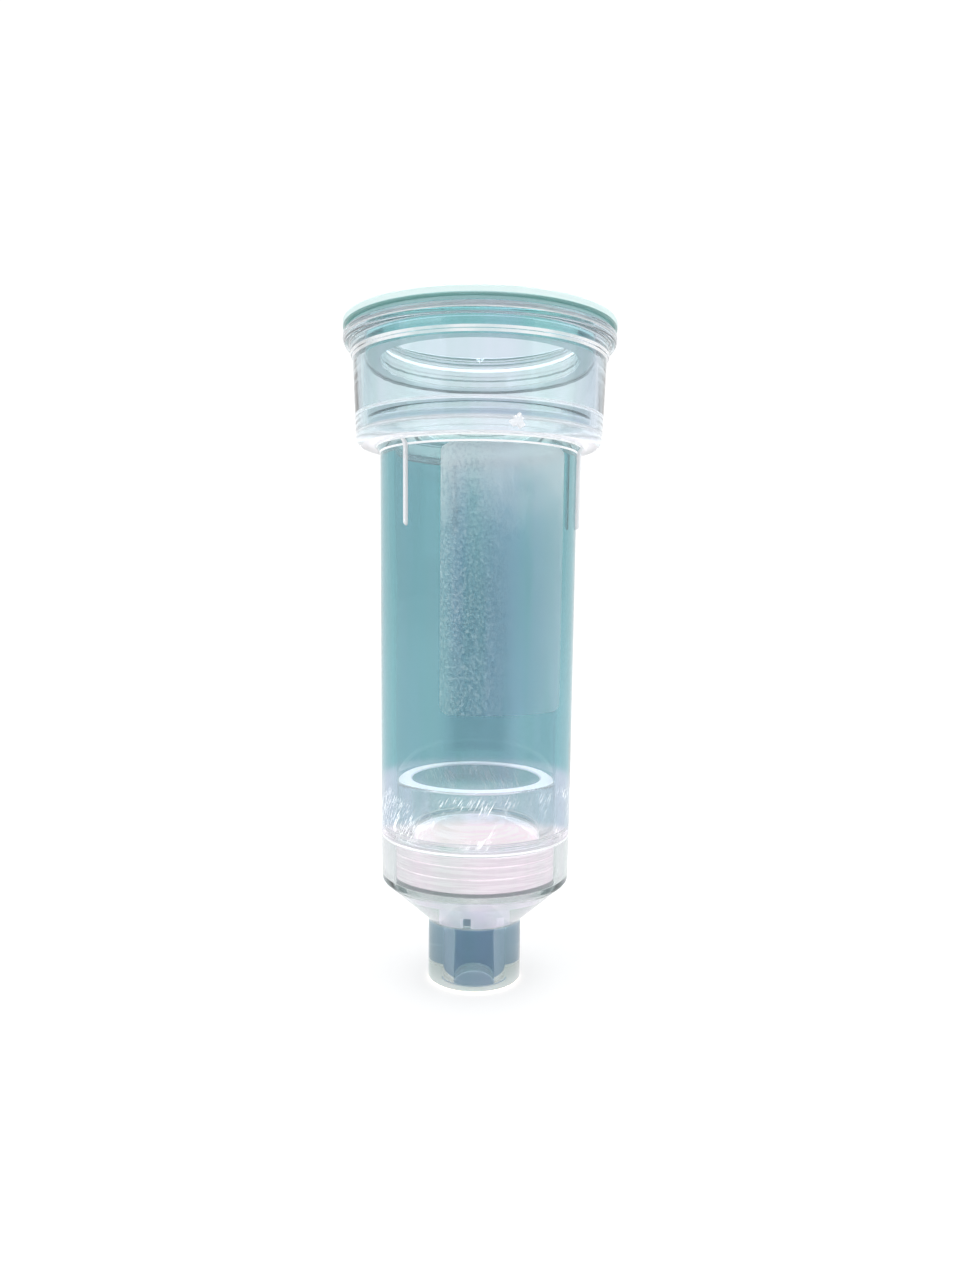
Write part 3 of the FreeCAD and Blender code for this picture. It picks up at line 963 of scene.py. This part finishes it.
# Painted light: the collar's frosted floor and underside shine by an emission.
frosted_floor = frosted_plastic("frosted_floor", 0.9, FROST_PINK, matte=0.65, painted_light=0.46,
                                painted_light_tint=FROST_PINK)
frosted_under = frosted_plastic("frosted_under", 0.95, FROST_PINK, matte=0.3, painted_light=0.10)
collar = turned_piece("collar", collar_clear, collar_edge, frosted_floor, frosted_under,
                      UPPER_EDGE, softness=0.16 * MM)
mark_edges(collar, 4, collar_low + SHOULDER_RISE, collar_floor + FLOOR_RISE)
mark_faces(collar, 3, collar_low, collar_low + FACE_DEPTH, facing=-1)
mark_faces(collar, 2, collar_low, collar_floor, facing=1)
# Painted light: a faint emission on the gate nub.
gate_nub("collar", frosted_plastic("gate_white", 0.55, painted_light=0.05))

# Painted light: the mouth ring's front half is tinted, its back half left white.
mouth_clear = clear_plastic("mouth_clear", [(0, MOUTH_FRONT)], back=MOUTH_BACK,
                            soak=COLLAR_SOAK)
# Painted light: the mouth's frosted rim and spigot shine by an emission.
frosted_rim = frosted_plastic("frosted_rim", 0.25, FROST_MINT, painted_light=0.17, painted_light_tint=RIM_PAINTED_LIGHT)
frosted_spigot = frosted_plastic("frosted_spigot", 0.8, FROST_MINT, painted_light=0.14)
mouth = turned_piece("mouth_ring", mouth_clear, UPPER_EDGE, frosted_rim, frosted_spigot,
                     LIT_EDGE, softness=0.22 * MM)
mark_faces(mouth, 2, mouth_top - RIM_DEPTH, mouth_top, nearest=RIM_RADIUS)
mark_faces(mouth, 3, mouth_low, mouth_low + FACE_DEPTH, facing=-1)
# Painted highlights on the spigot's and the flare's edges.
mark_edges(mouth, 4, *(mouth_low + end for end in SPIGOT_EDGE))
mark_edges(mouth, 4, *(mouth_top + end for end in FLARE_EDGE))

# Painted light: the retaining ring's back half is tinted apart from its clear front.
retainer_clear = clear_plastic("retainer_clear", [(0, CLEAR)], back=RETAINER_BACK,
                               soak=RETAINER_SOAK)
# Painted light: the retaining ring's frosted top shines by an emission.
frosted_ring = frosted_plastic("frosted_ring", 0.35, painted_light=0.85, painted_light_tint=RING_PAINTED_LIGHT)
retainer = turned_piece("retaining_ring", retainer_clear, UPPER_EDGE, frosted_ring,
                        softness=0.14 * MM)
mark_faces(retainer, 2, retainer_top - RETAINER_DEPTH, retainer_top, facing=1)

# Painted light: the clear and the white seals shine by an emission.
turned_piece("collar_seal", seal_rubber("seal_clear", *SEAL_CLEAR, painted_light=0.18))
turned_piece("mouth_gasket", seal_rubber("gasket_teal", *GASKET_TEAL))
turned_piece("upper_disc_seal", seal_rubber("seal_white", *SEAL_WHITE, painted_light=0.35))
turned_piece("lower_disc_seal", seal_rubber("seal_grey", *SEAL_GREY))

# Painted light: the ceramic discs shine by an emission.
ceramics = [porous_ceramic("ceramic_" + node, 7.0 * index)
            for index, node in enumerate(("fine_disc", "middle_disc", "coarse_disc"))]
# The fine disc's crown, its top, is a copy of its ceramic with its own painted light.
crown = porous_ceramic("crown_fine_disc", 7.0, CROWN_PAINTED_LIGHT)
fine_disc = turned_piece("fine_disc", ceramics[0], ceramics[0], crown, softness=DISC_SOFTNESS)
mark_faces(fine_disc, 2, cup_top - CROWN_DROP, retainer_top)
turned_piece("middle_disc", ceramics[1], softness=DISC_SOFTNESS)
turned_piece("coarse_disc", ceramics[2], softness=DISC_SOFTNESS)
# Painted light and painted shade on the support grid.
dress("support_grid", milky_plastic("support_milky", SKIRT_BORE))
